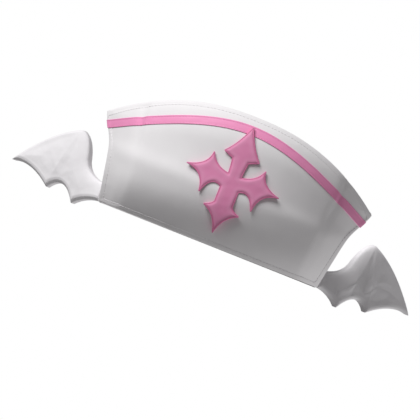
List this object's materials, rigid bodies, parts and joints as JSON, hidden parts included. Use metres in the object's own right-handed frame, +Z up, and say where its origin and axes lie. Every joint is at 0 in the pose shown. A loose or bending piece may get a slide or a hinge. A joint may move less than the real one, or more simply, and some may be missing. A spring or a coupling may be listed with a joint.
{
  "type": "nurse cap",
  "caption": "White costume nurse cap with a stiff arched front, a pink ribbon stripe, a padded pink gothic cross and padded white bat wings at the sides.",
  "frame": {"origin": "Where the head holds the cap: the middle of the rim, in the plane of the rim.", "axes": "+X across the cap, to the right as its front is seen; -Y out of the front, where the cross is; +Z up, from the rim to the top of the cuff."},
  "size_m": [0.3412, 0.1496, 0.1203],
  "materials": {
    "white_cloth": "plain woven cotton twill over a stiffener, matt",
    "pink_ribbon": "satin ribbon, soft sheen",
    "pink_satin": "padded satin, soft sheen",
    "white_wing": "padded soft-shell cloth, matt with a faint sheen"
  },
  "bodies": {
    "root": {"cuff": "white_cloth", "crown": "white_cloth", "stripe": "pink_ribbon", "cross": "pink_satin", "wing_left": "white_wing", "wing_right": "white_wing"}
  },
  "joints": []
}
